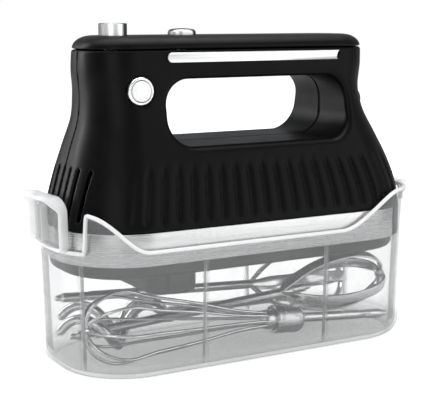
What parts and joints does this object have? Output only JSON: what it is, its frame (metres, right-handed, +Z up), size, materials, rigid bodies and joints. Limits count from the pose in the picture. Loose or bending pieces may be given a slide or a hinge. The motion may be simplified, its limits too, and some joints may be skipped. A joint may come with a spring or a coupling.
{
  "type": "hand mixer in storage case",
  "caption": "Electric hand mixer with closed loop handle, eject button, speed slider and worm-driven spindles, standing in its clear storage case with beaters, dough hooks and whisk.",
  "frame": {"origin": "middle of the underside of the storage case", "axes": "+X from the nose of the mixer to its rear end, +Y to its right side, +Z up"},
  "size_m": [0.2216, 0.0906, 0.1695],
  "materials": {
    "matte_black": "fine matte ABS moulding",
    "dark_grey": "satin moulding",
    "brushed_steel": "lengthwise brushed stainless sheet",
    "polished_steel": "polished stainless",
    "clear_plastic": "clear moulding, slightly frosted",
    "white_plastic": "satin",
    "natural_nylon": "plain moulding",
    "copper": "enamelled wire and copper bars",
    "lamination": "stacked sheet",
    "bronze": "sintered",
    "carbon": "pressed carbon",
    "circuit_board": "lacquered board"
  },
  "bodies": {
    "case": {"storage_case": "clear_plastic", "beater_1": "polished_steel", "beater_2": "polished_steel", "dough_hook_1": "polished_steel", "dough_hook_2": "polished_steel", "whisk_wires": "polished_steel", "whisk_collar": "polished_steel", "whisk_stem": "polished_steel"},
    "latch": {"latch_tongue": "clear_plastic"},
    "mixer": {"left_body_shell": "matte_black", "right_body_shell": "matte_black", "top_cover": "matte_black", "steel_band": "brushed_steel", "left_handle_strip": "brushed_steel", "right_handle_strip": "brushed_steel", "base_cover": "dark_grey", "base_screw_1": "polished_steel", "base_screw_2": "polished_steel", "base_screw_3": "polished_steel", "base_screw_4": "polished_steel", "gear_housing": "natural_nylon", "left_upper_bush": "bronze", "left_lower_bush": "bronze", "right_upper_bush": "bronze", "right_lower_bush": "bronze", "front_shaft_bush": "bronze", "middle_shaft_bush": "bronze", "rear_shaft_bush": "bronze", "stator_core": "lamination", "upper_field_coil": "copper", "lower_field_coil": "copper", "left_carbon_brush": "carbon", "right_carbon_brush": "carbon", "left_brush_holder": "bronze", "right_brush_holder": "bronze", "rear_motor_bracket": "natural_nylon", "ejector_guide": "natural_nylon", "eject_spring": "polished_steel", "speed_switch": "dark_grey", "boost_bezel": "polished_steel", "boost_switch": "dark_grey", "control_board": "circuit_board", "cord_gland": "dark_grey"},
    "eject": {"eject_button": "polished_steel", "ejector": "natural_nylon"},
    "speed": {"speed_slider": "polished_steel", "slider_carriage": "natural_nylon"},
    "boost": {"boost_button": "white_plastic"},
    "rotor": {"motor_shaft": "polished_steel", "armature_core": "lamination", "front_armature_winding": "copper", "rear_armature_winding": "copper", "commutator": "copper", "cooling_fan": "natural_nylon"},
    "left_drive": {"left_spindle": "polished_steel", "left_worm_wheel": "white_plastic"},
    "right_drive": {"right_spindle": "polished_steel", "right_worm_wheel": "white_plastic"}
  },
  "joints": [
    {"name": "mixer_lift", "type": "slide", "parent": "case", "child": "mixer", "axis": [0, 0, 1], "range_m": [0, 0.06]},
    {"name": "latch_flex", "type": "hinge", "parent": "case", "child": "latch", "pos_m": [-0.103, 0, 0.0623], "axis": [0, -1, 0], "range_deg": [0, 8], "stiffness_Nm_per_rad": 0.6, "springref_deg": -2.86},
    {"name": "eject_press", "type": "slide", "parent": "mixer", "child": "eject", "axis": [0, 0, -1], "range_m": [0, 0.006], "stiffness_N_per_m": 300, "springref_m": -0.01, "deforming": ["eject_spring"]},
    {"name": "speed_slide", "type": "slide", "parent": "mixer", "child": "speed", "axis": [-1, 0, 0], "range_m": [0, 0.016]},
    {"name": "boost_press", "type": "slide", "parent": "mixer", "child": "boost", "axis": [0, 1, 0], "range_m": [0, 0.002], "stiffness_N_per_m": 400, "springref_m": -0.003},
    {"name": "motor_spin", "type": "hinge", "parent": "mixer", "child": "rotor", "pos_m": [0, 0, 0.0815], "axis": [1, 0, 0], "continuous": true},
    {"name": "left_spindle_spin", "type": "hinge", "parent": "mixer", "child": "left_drive", "pos_m": [-0.046, -0.018, 0.0815], "axis": [0, 0, 1], "continuous": true},
    {"name": "right_spindle_spin", "type": "hinge", "parent": "mixer", "child": "right_drive", "pos_m": [-0.046, 0.018, 0.0815], "axis": [0, 0, 1], "continuous": true}
  ],
  "couplings": [
    {"joint": "left_spindle_spin", "follows": "motor_spin", "ratio": 0.037037},
    {"joint": "right_spindle_spin", "follows": "motor_spin", "ratio": -0.037037}
  ]
}
